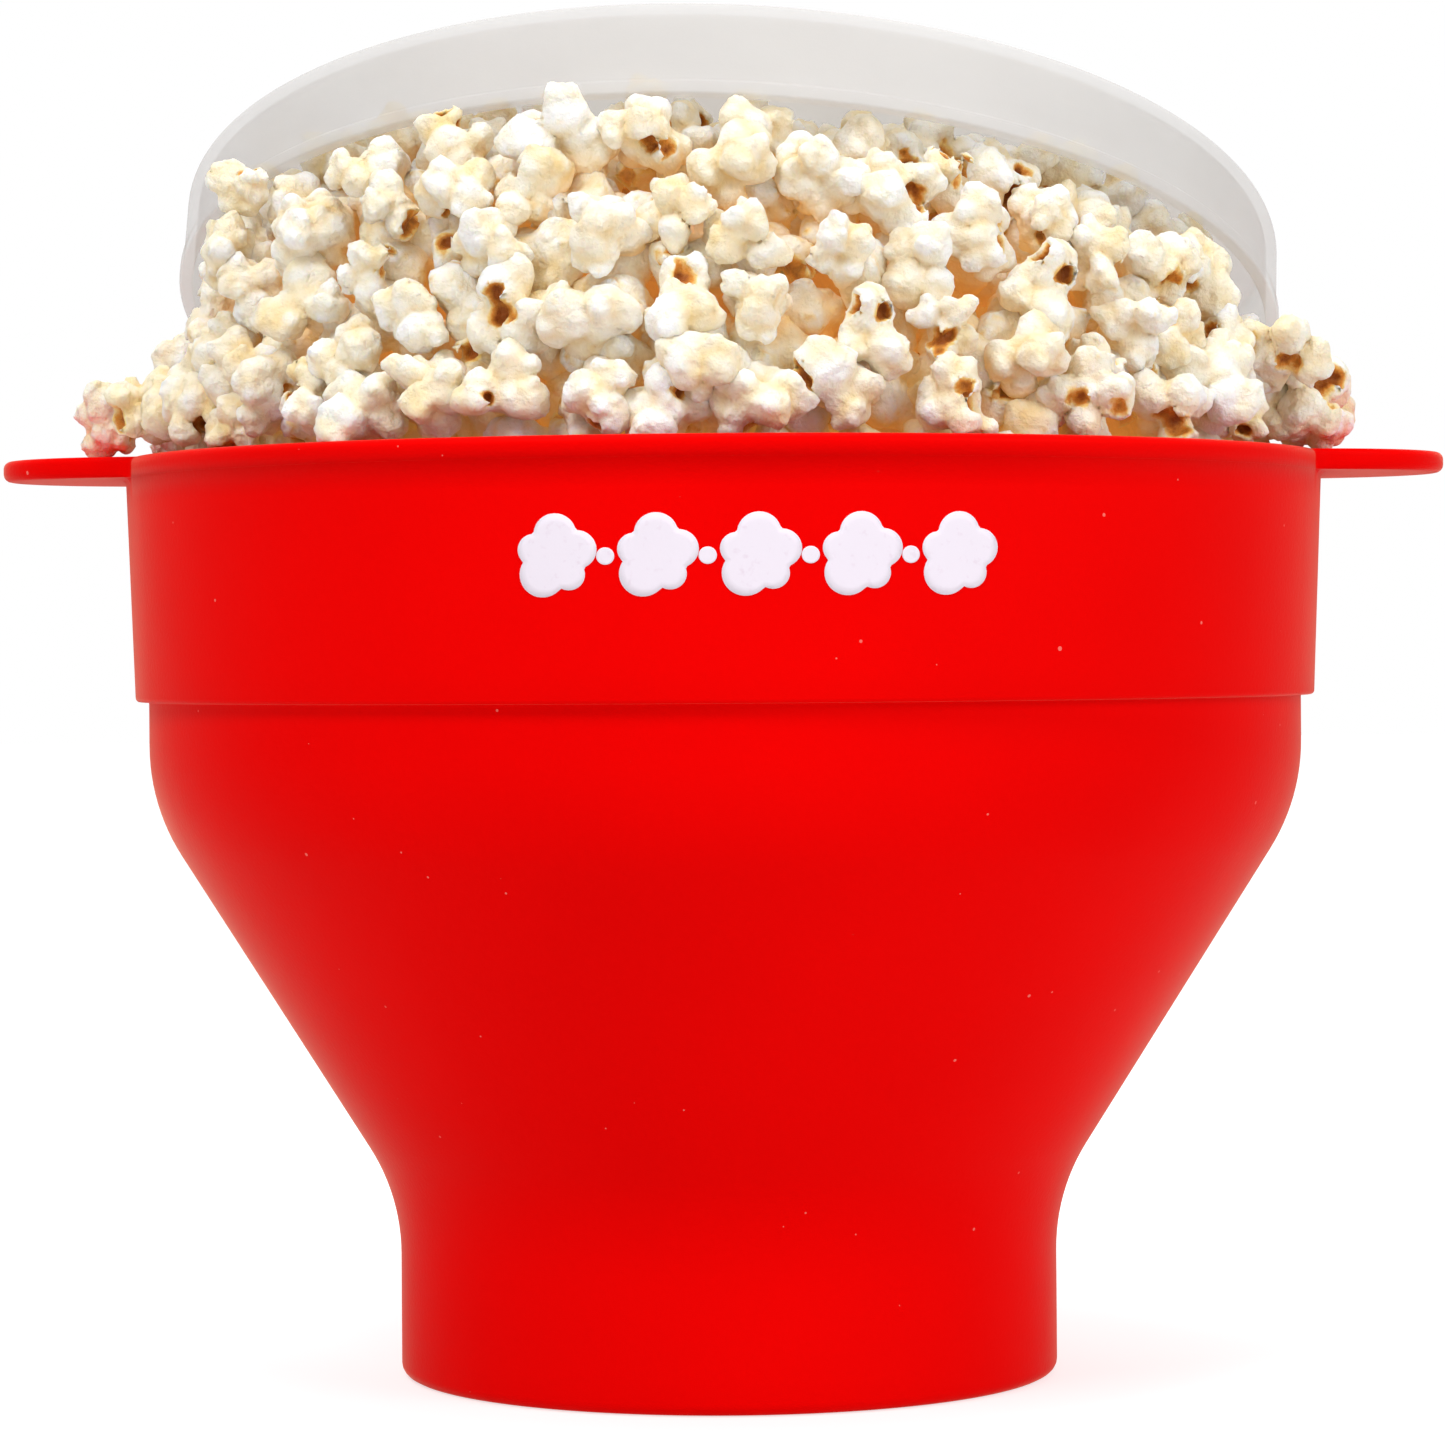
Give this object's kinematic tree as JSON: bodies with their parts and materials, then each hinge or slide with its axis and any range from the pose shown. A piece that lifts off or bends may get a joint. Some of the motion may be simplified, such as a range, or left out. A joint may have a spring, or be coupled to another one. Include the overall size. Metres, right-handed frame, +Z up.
{
  "type": "popcorn maker",
  "caption": "Collapsible silicone popcorn bowl for the microwave: upright rim band with flat tab handles, conical folding web, round cup foot and a frosted lid held up by the heap.",
  "frame": {"origin": "centre of the flat foot under the cup, on the surface the bowl stands on", "axes": "+Z up out of the mouth, +X through the right handle, -Y towards the front, where the lid is held open"},
  "size_m": [0.242, 0.2133, 0.222],
  "materials": {
    "red_silicone": "satin",
    "frosted_lid": "frosted",
    "popcorn": "matte"
  },
  "bodies": {
    "base": {"base_cup": "red_silicone"},
    "web_1": {"fold_ring_1": "red_silicone"},
    "web_2": {"fold_ring_2": "red_silicone"},
    "web_3": {"fold_ring_3": "red_silicone"},
    "web_4": {"fold_ring_4": "red_silicone"},
    "web_5": {"fold_ring_5": "red_silicone"},
    "web_6": {"fold_ring_6": "red_silicone"},
    "web_7": {"fold_ring_7": "red_silicone"},
    "web_8": {"fold_ring_8": "red_silicone"},
    "band": {"shoulder": "red_silicone", "rim_band": "red_silicone", "handle_right": "red_silicone", "handle_left": "red_silicone"},
    "lid": {"lid_panel": "frosted_lid", "lid_skirt": "frosted_lid"}
  },
  "joints": [
    {"name": "fold", "type": "slide", "parent": "base", "child": "band", "axis": [0, 0, -1], "range_m": [0, 0.087]},
    {"name": "web_roll_1", "type": "slide", "parent": "base", "child": "web_1", "axis": [0, 0, -1], "range_m": [0, 0.0043]},
    {"name": "web_roll_2", "type": "slide", "parent": "base", "child": "web_2", "axis": [0, 0, -1], "range_m": [0, 0.0115]},
    {"name": "web_roll_3", "type": "slide", "parent": "base", "child": "web_3", "axis": [0, 0, -1], "range_m": [0, 0.0214]},
    {"name": "web_roll_4", "type": "slide", "parent": "base", "child": "web_4", "axis": [0, 0, -1], "range_m": [0, 0.0331]},
    {"name": "web_roll_5", "type": "slide", "parent": "base", "child": "web_5", "axis": [0, 0, -1], "range_m": [0, 0.0456]},
    {"name": "web_roll_6", "type": "slide", "parent": "base", "child": "web_6", "axis": [0, 0, -1], "range_m": [0, 0.058]},
    {"name": "web_roll_7", "type": "slide", "parent": "base", "child": "web_7", "axis": [0, 0, -1], "range_m": [0, 0.0693]},
    {"name": "web_roll_8", "type": "slide", "parent": "base", "child": "web_8", "axis": [0, 0, -1], "range_m": [0, 0.0786]},
    {"name": "lid_lift", "type": "slide", "parent": "band", "child": "lid", "axis": [0, 0, 1], "range_m": [0, 0.12]}
  ],
  "couplings": [
    {"joint": "web_roll_1", "follows": "fold", "ratio": 0.0433},
    {"joint": "web_roll_2", "follows": "fold", "ratio": 0.1262},
    {"joint": "web_roll_3", "follows": "fold", "ratio": 0.2402},
    {"joint": "web_roll_4", "follows": "fold", "ratio": 0.3746},
    {"joint": "web_roll_5", "follows": "fold", "ratio": 0.5184},
    {"joint": "web_roll_6", "follows": "fold", "ratio": 0.6609},
    {"joint": "web_roll_7", "follows": "fold", "ratio": 0.7911},
    {"joint": "web_roll_8", "follows": "fold", "ratio": 0.8982}
  ]
}
